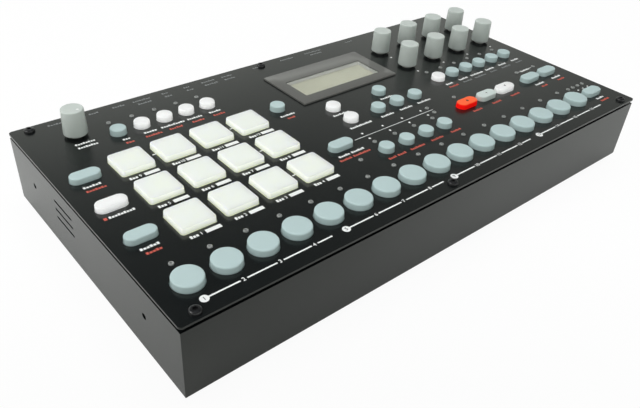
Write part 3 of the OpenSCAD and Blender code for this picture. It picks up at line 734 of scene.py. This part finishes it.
# %% Pads
PAD = 18.6
PAD_TOP = PLATE_TOP + 3.2
PAD_X, PAD_Y = 39.0, 56.6
PAD_STEP_X, PAD_STEP_Y = 23.9, 28.05
MAT_MARGIN = 2.0
pad = block(PAD_X - PAD / 2, PAD_X + PAD / 2, PAD_Y - PAD / 2, PAD_Y + PAD / 2, RIM_TOP - 0.2, PAD_TOP)
soften_corners(1.7, 6)
pick_cap(PAD_TOP)
narrower = (PAD - 0.5) / PAD
bpy.ops.transform.resize(value=(narrower, narrower, 1), center_override=spot(PAD_X, PAD_Y, PAD_TOP))
soften_rim(PAD_TOP, 0.6, 5)
crown(PAD_X, PAD_Y, PAD_TOP, [(share, 0.035) for share in (0.88, 0.82, 0.7, 0.5)])
first_pad = done(pad, "pad_1", "pads", silicone, "pad_rubber", ["pads"])
for row in range(3):
    for column in range(4):
        if row or column:
            copy_to(first_pad, f"pad_{row * 4 + column + 1}", "pads", column * PAD_STEP_X, row * PAD_STEP_Y)
reach = PAD / 2 + MAT_MARGIN
mat = block(PAD_X - reach, PAD_X + 3 * PAD_STEP_X + reach, PAD_Y - reach, PAD_Y + 2 * PAD_STEP_Y + reach,
            RIM_TOP - 1, RIM_TOP)
soften_corners(1.5, 5)
soften_rim(RIM_TOP, 0.25, 2)
done(mat, "pad_mat", "pads", silicone, "pad_rubber")
print("pads 12, faces each", len(first_pad.data.polygons))

# %% [markdown]
# ## The knobs
# A knob is a tall cap that narrows a little towards its flat top, with a soft upper edge and a small
# rounding at the foot that shows as a light line. It is hollow below: the bottom is inset by the
# wall's thickness and pushed up inside, and from the roof of that hollow the shaft comes down again
# through the plate. The volume knob has a white dot sunk in its top.

# %% Knobs
KNOB_LOW = PLATE_TOP + 1.6
KNOB_TOP = KNOB_LOW + 14.5
KNOB_R = 6.4
KNOB_TOP_R = 5.95
SHAFT_LOW = 37.0
VOLUME_X, VOLUME_Y = 28.2, 154.2
DATA_X, DATA_Y = CASE_W - 92, 118.8
DATA_PITCH_X, DATA_PITCH_Y = 26.2, 26.3
knob = round_bar(KNOB_R, KNOB_LOW, KNOB_TOP, VOLUME_X, VOLUME_Y, 72)
pick_cap(KNOB_TOP)
bpy.ops.transform.resize(value=(KNOB_TOP_R / KNOB_R, KNOB_TOP_R / KNOB_R, 1),
                         center_override=spot(VOLUME_X, VOLUME_Y, KNOB_TOP))
soften_rim(KNOB_TOP, 0.6, 5)
soften_rim(KNOB_LOW, 0.25, 3)
crown(VOLUME_X, VOLUME_Y, KNOB_TOP, [(share, -0.04) for share in (0.85, 0.75, 0.6)])
pick_cap(KNOB_LOW, -1)
bpy.ops.mesh.inset(thickness=1.15 * MM)
raise_faces(11.5)
bpy.ops.mesh.inset(thickness=(KNOB_R - 1.4 - 3.05) * MM)
raise_faces(SHAFT_LOW - KNOB_LOW - 11.5)
first_knob = done(knob, "volume_cap", "volume_knob", knob_moulding, "grey_key", ["volume_knob"])
for number in range(8):
    column, back_row = number % 4, number < 4
    knob_x = DATA_X + DATA_PITCH_X * column
    knob_y = DATA_Y + (DATA_PITCH_Y if back_row else 0)
    body = f"data_knob_{number + 1}"
    copy_to(first_knob, f"data_cap_{number + 1}", body, knob_x - VOLUME_X, knob_y - VOLUME_Y, replaced=[body])
dot = round_bar(0.75, KNOB_TOP - 0.4, KNOB_TOP - 0.02, VOLUME_X + 2.0, VOLUME_Y - 2.5, 32)
soften_rim(KNOB_TOP - 0.02, 0.08, 2)
done(dot, "volume_dot", "volume_knob", white_ink, "white_key")
print("knob faces", len(first_knob.data.polygons))

# %% [markdown]
# ## Places read from the frame
# The lamps, the screws, the sockets and the feet are many small solids in a few nodes. The node's own
# mesh says where each of them is: its loose parts are found by walking from face to face, and the
# box round each part gives a place. Modelled pieces then go to exactly those places.

# %% Boxes of a node's loose parts
def parts_of(node_name):
    """The lowest and highest corner of each loose part of a node, in millimetres on the panel."""
    shape = bmesh.new()
    shape.from_mesh(nodes[node_name].data)
    bmesh.ops.remove_doubles(shape, verts=shape.verts, dist=0.000001)
    boxes, seen = [], set()
    for start in shape.verts:
        if start.index in seen:
            continue
        seen.add(start.index)
        heap, part = [start], []
        while heap:
            point = heap.pop()
            part.append(ruler(point.co))
            for edge in point.link_edges:
                other = edge.other_vert(point)
                if other.index not in seen:
                    seen.add(other.index)
                    heap.append(other)
        low = Vector([min(p[i] for p in part) for i in range(3)])
        high = Vector([max(p[i] for p in part) for i in range(3)])
        boxes.append((low, high))
    shape.free()
    return sorted(boxes, key=lambda box: (round(box[0].x, 2), round(box[0].y, 2), round(box[0].z, 2)))


def middle_of(box):
    """The middle of a part's box."""
    return (box[0] + box[1]) / 2


def copies_at(first, name, boxes):
    """The first piece and its copies at the middles of the other boxes."""
    start = middle_of(boxes[0])
    pieces = [first]
    for number, box in enumerate(boxes[1:], 2):
        shift = middle_of(box) - start
        pieces.append(copy_to(first, f"{name}_{number}", "case", shift.x, shift.y))
    return pieces


lens_boxes = parts_of("lamp_lenses")
screw_boxes = parts_of("screws")
print("lenses", len(lens_boxes), lens_boxes[0], "screws", len(screw_boxes), screw_boxes[0])


# %% Many small pieces as one
def joined(pieces, name, body, replaced=()):
    """Joins copies into one piece on one body."""
    clear_selection()
    for piece in pieces:
        piece.select_set(True)
    bpy.context.view_layer.objects.active = pieces[0]
    bpy.ops.object.join()
    whole = bpy.context.object
    whole.name = name
    whole.data.name = name
    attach(whole, body)
    if replaced:
        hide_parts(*replaced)
    print(name, len(whole.data.polygons), "faces")
    return whole


# %% A second finish for some faces
def repaint(piece, material, test):
    """Gives the faces whose middle and direction pass the test another finish."""
    piece.data.materials.append(material)
    index = len(piece.data.materials) - 1
    count = 0
    for face in piece.data.polygons:
        if test(ruler(face.center), face.normal):
            face.material_index = index
            count += 1
    print(piece.name, "faces with", material.name, count)


# %% [markdown]
# ## The lamps
# Beside each key sits the end of a light pipe: a small frosted dome that stands a little proud of the
# plate, with a collar under the plate and a thin round stem down to its lamp on the board. The dome's
# middle is sunk, and the faces near the axis take a darker finish: painted shade for the look down
# into the pipe.

# %% Lamp lenses
COLLAR_LOW = 44.8
COLLAR_TOP = 45.6
COLLAR_R = 2.0
PIPE_R = 1.2
LENS_R = 1.3
LENS_PROUD = 0.62
low, high = lens_boxes[0]
lens_x, lens_y, _ = middle_of(lens_boxes[0])
lens_top = PLATE_TOP + LENS_PROUD
lens = round_bar(COLLAR_R, COLLAR_LOW, COLLAR_TOP, lens_x, lens_y, 32)
pick_cap(COLLAR_LOW, -1)
bpy.ops.mesh.inset(thickness=(COLLAR_R - PIPE_R) * MM)
raise_faces(low.z - COLLAR_LOW)
pick_cap(COLLAR_TOP)
bpy.ops.mesh.inset(thickness=(COLLAR_R - LENS_R) * MM)
raise_faces(lens_top - COLLAR_TOP)
soften_rim(lens_top, 0.5, 4)
crown(lens_x, lens_y, lens_top, ((0.85, -0.08), (0.7, -0.14), (0.6, -0.05), (0.5, 0.06)))
first_lens = done(lens, "lens_1", "case", lens_clear, "lamp_lens")
# Painted shade: the faces near the dome's axis take the darker finish.
repaint(first_lens, lens_painted_shade, lambda middle, normal: middle.z > PLATE_TOP
        and math.hypot(middle.x - lens_x, middle.y - lens_y) < 0.62)
joined(copies_at(first_lens, "lens", lens_boxes), "light_pipes", "case", ["lamp_lenses"])

# %% [markdown]
# ## The screws
# Six black button-head screws hold the plate. A button head is a low dome with a six-sided socket:
# a round bar, its upper edge rounded over almost to the middle, and the socket cut with a Boolean.
# The screws on the boards inside have flat heads with a cross.

# %% Cut one shape out of another
def cut(piece, tool):
    """Takes the tool's shape out of the piece and throws the tool away."""
    clear_selection()
    bpy.context.view_layer.objects.active = piece
    piece.select_set(True)
    knife = piece.modifiers.new("cut", "BOOLEAN")
    knife.operation = "DIFFERENCE"
    knife.solver = "EXACT"
    knife.object = tool
    bpy.ops.object.modifier_apply(modifier="cut")
    bpy.data.objects.remove(tool)
    bpy.ops.object.mode_set(mode="EDIT")
    return piece


# %% Plate screws
plate_screw_boxes = [box for box in screw_boxes if box[1].z > PLATE_TOP]
low, high = plate_screw_boxes[0]
screw_x, screw_y, _ = middle_of(plate_screw_boxes[0])
head = round_bar(2.85, PLATE_TOP, high.z, screw_x, screw_y, 48)
soften_rim(high.z, 1.15, 6)
pick_cap(PLATE_TOP, -1)
bpy.ops.mesh.inset(thickness=1.35 * MM)
raise_faces(low.z - PLATE_TOP)
socket = round_bar(1.25, high.z - 1.1, high.z + 1, screw_x, screw_y, 6)
cut(head, socket)
first_screw = done(head, "plate_screw_1", "case", black_oxide, "black_screw")
joined(copies_at(first_screw, "plate_screw", plate_screw_boxes), "plate_screws", "case", ["screws"])

# %% Board screws
HEAD_THICK = 1.8
board_screw_boxes = [box for box in screw_boxes if box[1].z < PLATE_TOP]
upright = [box for box in board_screw_boxes if box[1].z < 20]
low, high = upright[0]
screw_x, screw_y, _ = middle_of(upright[0])
head = round_bar(2.45, high.z - HEAD_THICK, high.z, screw_x, screw_y, 32)
soften_rim(high.z, 0.6, 3)
pick_cap(high.z - HEAD_THICK, -1)
bpy.ops.mesh.inset(thickness=1.2 * MM)
raise_faces(low.z - high.z + HEAD_THICK)
for long_x, long_y in ((1.4, 0.3), (0.3, 1.4)):
    slot_tool = block(screw_x - long_x, screw_x + long_x, screw_y - long_y, screw_y + long_y,
                      high.z - 0.8, high.z + 1)
    cut(head, slot_tool)
first_screw = done(head, "board_screw_1", "case", steel, "black_screw")
screws = [first_screw]
for number, (box_low, box_high) in enumerate(board_screw_boxes, 2):
    if (box_low - low).length < 0.1:
        continue
    twin = copy_to(first_screw, f"board_screw_{number}", "case", 0, 0)
    middle = spot(screw_x, screw_y, (low.z + high.z) / 2)
    turn = Matrix.Rotation(math.pi, 4, "X") if box_low.z > 20 else Matrix.Identity(4)
    target = spot(*((box_low + box_high) / 2))
    twin.data.transform(Matrix.Translation(target) @ turn @ Matrix.Translation(-middle))
    screws.append(twin)
joined(screws, "board_screws", "case")

# %% [markdown]
# ## The display
# A glossy sheet lies on the plate. Most of it is painted grey from behind, and a window in it is left
# clear. Below the window a sloping lining leads down to the picture cell. The sheet is a thin block
# that is cut along the window's four edges with bisect, so that the window's faces can take the clear
# finish while the sheet stays one closed piece.

# %% Cover sheet, lining and cell
VIEW_X0, VIEW_X1 = 160.3, 222.5
VIEW_Y0, VIEW_Y1 = 120.35, 141.05
low, high = ruler(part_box("display_cover")[0]), ruler(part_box("display_cover")[1])
sheet = block(low.x, high.x, low.y, high.y, low.z, high.z)
soften_corners(0.6, 4)
soften_rim(high.z, 0.16, 3)
for place, direction in ((spot(VIEW_X0, 0, 0), (1, 0, 0)), (spot(VIEW_X1, 0, 0), (1, 0, 0)),
                         (spot(0, VIEW_Y0, 0), (0, 1, 0)), (spot(0, VIEW_Y1, 0), (0, 1, 0))):
    bpy.ops.mesh.select_all(action="SELECT")
    bpy.ops.mesh.bisect(plane_co=place, plane_no=direction)
cover_sheet = done(sheet, "cover_sheet", "case", cover_paint, "cover_sheet", ["display_cover"])
repaint(cover_sheet, window_clear, lambda middle, normal: VIEW_X0 < middle.x < VIEW_X1
        and VIEW_Y0 < middle.y < VIEW_Y1 and abs(normal.z) > 0.9)

CELL_TOP = 45.4
LINING = 1.3
clear_selection()
view_middle = spot((VIEW_X0 + VIEW_X1) / 2, (VIEW_Y0 + VIEW_Y1) / 2, CELL_TOP + 0.15)
bpy.ops.mesh.primitive_plane_add(size=MM, location=view_middle)
lining = bpy.context.object
lining.scale = (VIEW_X1 - VIEW_X0 - 0.06, VIEW_Y1 - VIEW_Y0 - 0.06, 1)
bake_place(lining)
bpy.ops.mesh.select_all(action="SELECT")
bpy.ops.mesh.inset(thickness=LINING * MM)
bpy.ops.mesh.delete(type="FACE")
pick(lambda middle, normal: min(abs(middle.x - VIEW_X0), abs(middle.x - VIEW_X1)) < 0.2, "VERT")
bpy.ops.transform.translate(value=(0, 0, (PLATE_TOP - CELL_TOP - 0.2) * MM))
bpy.ops.object.mode_set(mode="OBJECT")
wall = lining.modifiers.new("thickness", "SOLIDIFY")
wall.thickness = 0.12 * MM
wall.offset = 0
bpy.ops.object.modifier_apply(modifier="thickness")
bpy.ops.object.mode_set(mode="EDIT")
done(lining, "window_lining", "case", lining_paint, "display_cell")
module = softened("display_module", "picture_module", "case", 0.2, black_moulding, "display_cell")
repaint(module, cell_grey, lambda middle, normal: near(middle.z, CELL_TOP) and normal.z > 0.9)

# %% [markdown]
# ## The print
# Each label is a row of small plain blocks with the length and height of a word, which gives the
# panel its rhythm of white and red. The numbers count the steps and the pads. Each coat of ink is a
# slab a few hundredths of a millimetre thick.

# %% Ink helpers
INK = 0.04
LETTER = 1.12
LETTER_GAP = 0.36
LETTER_HEIGHTS = (1.0, 0.76, 0.76, 1.0, 0.76)


def bar(x0, x1, y, tall):
    """One plain block of ink, as (x from, x to, y from, y to)."""
    return (x0, x1, y - tall / 2, y + tall / 2)


def word(x0, x1, y, tall=1.65):
    """A row of small blocks that fills the length of a word."""
    count = max(2, round((x1 - x0 + LETTER_GAP) / (LETTER + LETTER_GAP)))
    pitch = (x1 - x0 + LETTER_GAP) / count
    foot = y - tall / 2
    return [(x0 + i * pitch, x0 + i * pitch + pitch - LETTER_GAP, foot,
             foot + tall * LETTER_HEIGHTS[i % len(LETTER_HEIGHTS)]) for i in range(count)]


def print_on(name, marks, material, slot):
    """All marks of one ink as one piece."""
    clear_selection()
    bpy.ops.mesh.primitive_cube_add(size=MM, location=(0, 0, 0))
    piece = bpy.context.object
    bpy.ops.object.mode_set(mode="EDIT")
    bpy.ops.mesh.delete(type="VERT")
    for x0, x1, y0, y1 in marks:
        middle = spot((x0 + x1) / 2, (y0 + y1) / 2, PLATE_TOP + INK / 2)
        bpy.ops.mesh.primitive_cube_add(size=MM, location=middle, scale=(x1 - x0, y1 - y0, INK))
    print(name, len(marks), "marks")
    return done(piece, name, "case", material, slot)


def number_at(text, x, y, size, material, low=PLATE_TOP, thick=INK):
    """A printed number as a thin slab."""
    clear_selection()
    bpy.ops.object.text_add(location=spot(x, y, low))
    digits = bpy.context.object
    digits.data.body = text
    digits.data.size = size * MM
    digits.data.align_x = "CENTER"
    digits.data.align_y = "CENTER"
    digits.data.extrude = thick / 2 * MM
    digits.data.offset = 0.00004
    bpy.ops.object.convert(target="MESH")
    digits = bpy.context.object
    bpy.ops.object.transform_apply(location=True, rotation=True, scale=True)
    digits.data.transform(Matrix.Translation((0, 0, thick / 2 * MM)))
    return hang(digits, "number_" + text, "case", material, "white_key")


# %% White print
PAD_PRINT_DROP = 12.6
words = []
WHITE_ROWS = (
    (105.5, ((10, 19),)), (77.5, ((9.5, 22.3),)), (49.3, ((10, 19.2),)), (144.2, ((23.2, 34),)),
    (140.5, ((23.2, 34),)), (135.8, ((46, 50), (58.5, 66), (69, 83.5), (85.5, 95), (100, 107.5))),
    (108.8, ((131.5, 141.5),)), (92.3, ((158, 170),)), (75.8, ((156.5, 173),)), (92.3, ((197, 207),)),
    (75.8, ((181.5, 191.5), (197.3, 207.5), (213, 224))), (56.4, ((130.5, 138), (139.5, 148.5))),
    (83.3, ((248.5, 254.5), (261.5, 269.8), (273.5, 285.8), (289.5, 298), (304, 311.8), (318.5, 326))),
    (68.2, ((309, 318.5),)), (49.4, ((300, 309), (319, 328))), (14.2, ((317.5, 325),)),
)
for y, spans in WHITE_ROWS:
    for x0, x1 in spans:
        words += word(x0, x1, y)
for row in range(3):
    for column in range(4):
        x = PAD_X + column * PAD_STEP_X
        y = PAD_Y + row * PAD_STEP_Y - PAD_PRINT_DROP
        words += word(x - 7.5, x - 3.3, y, 2.0)
        words.append(bar(x + 0.6, x + 8.8, y, 2.4))
for x, y in ((52.3, 113.7), (100.3, 113.7), (100.3, 85.3), (100.3, 57)):
    words.append(bar(x - 1.0, x + 1.0, y, 0.7))
for x in (158.4, 174.6, 190.8, 207):
    words.append(bar(x - 0.6, x + 0.6, 68, 1.3))
    words.append(bar(x - 0.6, x + 0.6, 61.8, 1.3))
for x in (248, 274.2, 300, 326.4):
    words.append(bar(x - 0.6, x + 0.6, 108.3, 1.3))
    words.append(bar(x - 0.6, x + 0.6, 134, 1.3))
for i in range(4):
    words.append(bar(313.1 + 5.5 * i - 0.6, 313.1 + 5.5 * i + 0.6, 28.5, 1.0))
words.append(bar(149.8, 215, 65, 0.35))
words.append(bar(306.4, 308.2, 68.4, 0.3))
words.append(bar(319.3, 321.6, 68.4, 0.3))
STEP_PRINT_Y = 8.3
DISC_R = 2.1
gaps_at = []
for number in range(1, 17):
    x = STEP_X + STEP_PITCH * (number - 1)
    half = DISC_R - 0.1 if number % 4 == 1 else (2.4 if number > 9 else 1.7)
    gaps_at.append((x, half))
for number, (x, half) in enumerate(gaps_at, 1):
    if number % 4 == 0:
        words.append(bar(x + half, x + 10.4, STEP_PRINT_Y, 0.8))
    else:
        next_x, next_half = gaps_at[number]
        words.append(bar(x + half, next_x - next_half, STEP_PRINT_Y, 0.8))
print_on("white_print", words, white_ink, "white_key")

# %% Numbers of the steps and pads
numbers = []
discs = []
for number in range(1, 17):
    x = STEP_X + STEP_PITCH * (number - 1)
    if number % 4 == 1:
        disc = round_bar(DISC_R, PLATE_TOP, PLATE_TOP + INK, x, STEP_PRINT_Y, 32)
        discs.append(done(disc, f"disc_{number}", "case", white_ink, "white_key"))
        numbers.append(number_at(str(number), x, STEP_PRINT_Y, 2.7, black_ink, PLATE_TOP + INK, 0.02))
    else:
        numbers.append(number_at(str(number), x, STEP_PRINT_Y, 3.0, white_ink))
for row in range(3):
    for column in range(4):
        x = PAD_X + column * PAD_STEP_X
        y = PAD_Y + row * PAD_STEP_Y - PAD_PRINT_DROP
        numbers.append(number_at(str(row * 4 + column + 1), x - 1.6, y, 2.7, white_ink))
joined(numbers, "printed_numbers", "case")
joined(discs, "number_discs", "case")

# %% Red and grey print
red_words = []
RED_ROWS = (
    (101.8, ((10, 20),)), (45.7, ((11, 18.5),)),
    (131.8, ((46, 50.5), (57.5, 67.2), (72, 80), (86.5, 94), (100.5, 108))), (105.2, ((134, 139),)),
    (53, ((128.5, 136.5), (138, 150.2))),
    (39.9, ((152, 157.5), (158.8, 165), (169, 180), (186, 195.5), (203, 211))), (79.5, ((247.5, 256),)),
    (49, ((234.5, 242.5), (253.5, 261.5), (272.5, 281))), (45.7, ((302, 308), (320.5, 327.5))),
    (11, ((318, 326.5),)),
)
for y, spans in RED_ROWS:
    for x0, x1 in spans:
        red_words += word(x0, x1, y)
red_words.append(bar(7.0, 8.6, 77.5, 1.9))
print_on("red_print", red_words, red_ink, "red_key")
grey_words = []
GREY_ROWS = (
    (171, ((19.5, 34.5), (43, 48.5), (57.3, 64.5), (70, 81))), (167, ((71.5, 80),)), (171, ((89, 93),)),
    (167, ((89, 93.5),)), (171, ((104, 108),)), (167, ((104, 108.5),)), (171, ((117, 126),)),
    (167, ((117, 126),)), (171, ((131.5, 139),)), (167, ((131.5, 139),)),
    (171, ((156, 166), (178.5, 189.5), (200, 214))), (167.5, ((202, 212),)), (171, ((238, 244),)),
    (79.5, ((261.5, 269.8), (273.5, 284.8), (290, 297), (302.8, 312), (319, 325.5))),
)
for y, spans in GREY_ROWS:
    for x0, x1 in spans:
        grey_words += word(x0, x1, y, 1.5)
print_on("grey_print", grey_words, grey_ink, "grey_key")

# %% Signs on the transport keys
for name, body, x, sides in (("record_sign", "record_key", 237.6, 32), ("play_sign", "play_key", 256.65, 3),
                             ("stop_sign", "stop_key", 275.7, 4)):
    sign = round_bar(0.85, OVAL_TOP - 0.02, OVAL_TOP + 0.1, x, 57.4, sides)
    done(sign, name, body, black_ink, "grey_key")

# %% [markdown]
# ## The rear wall and the underside
# The sockets keep the frame's shapes with softened edges, and are painted by place: the threaded
# necks and nuts are nickel, the insides black. The button and the feet get a wider rounding.

# %% Sockets, button and feet
jacks = softened("jack_sockets", "audio_sockets", "case", 0.12, black_moulding, "nickel")
jack_axes = [27.2] + [45.6 + 15.15 * i for i in range(7)]
SOCKET_Z = 22.2
JACK_BORE_R = 3.3
DATA_AXES = (161, 184, 207)
DATA_RING_R = 6.85
INLET_X, INLET_Z = 268, 19.1


def off_axis(middle, x, z):
    """How far a place on the rear wall is from an axis that runs front to back."""
    return math.hypot(middle.x - x, middle.z - z)


repaint(jacks, nickel, lambda middle, normal: middle.y > 175.6
        and min(off_axis(middle, x, SOCKET_Z) for x in jack_axes) > JACK_BORE_R)
data_sockets = softened("rear_sockets", "data_and_power_sockets", "case", 0.1, black_moulding,
                        "black_plastic")
repaint(data_sockets, nickel,
        lambda middle, normal: (min(off_axis(middle, x, SOCKET_Z) for x in DATA_AXES) > DATA_RING_R
                                and middle.y > 174.5 and middle.x < 220)
        or (off_axis(middle, INLET_X, INLET_Z) < 1.0 and middle.y < 175)
        or (234 < middle.x < 250 and middle.y > 175))
softened("power_button", "power_push", "power_button", 0.35, black_moulding, "black_plastic", 3)
softened("rubber_feet", "round_feet", "case", 0.5, foot_rubber, "foot_rubber", 3)

# %% Inside: boards, switches and encoders
main = softened("main_board", "lower_board", "case", 0.1, board_mask, "board", 1)
repaint(main, black_moulding, lambda middle, normal: middle.z > 13.7)
softened("panel_board", "upper_board", "case", 0.1, board_mask, "board", 1)
softened("key_switches", "switch_row", "case", 0.15, black_moulding, "black_plastic", 1)
encoders = softened("encoders", "encoder_row", "case", 0.15, black_moulding, "black_plastic", 1)
knob_axes = [(VOLUME_X, VOLUME_Y)]
knob_axes += [(DATA_X + DATA_PITCH_X * c, DATA_Y + DATA_PITCH_Y * r) for c in range(4) for r in range(2)]
repaint(encoders, steel, lambda middle, normal: middle.z > 40
        and min(math.hypot(middle.x - x, middle.y - y) for x, y in knob_axes) < 3.7)
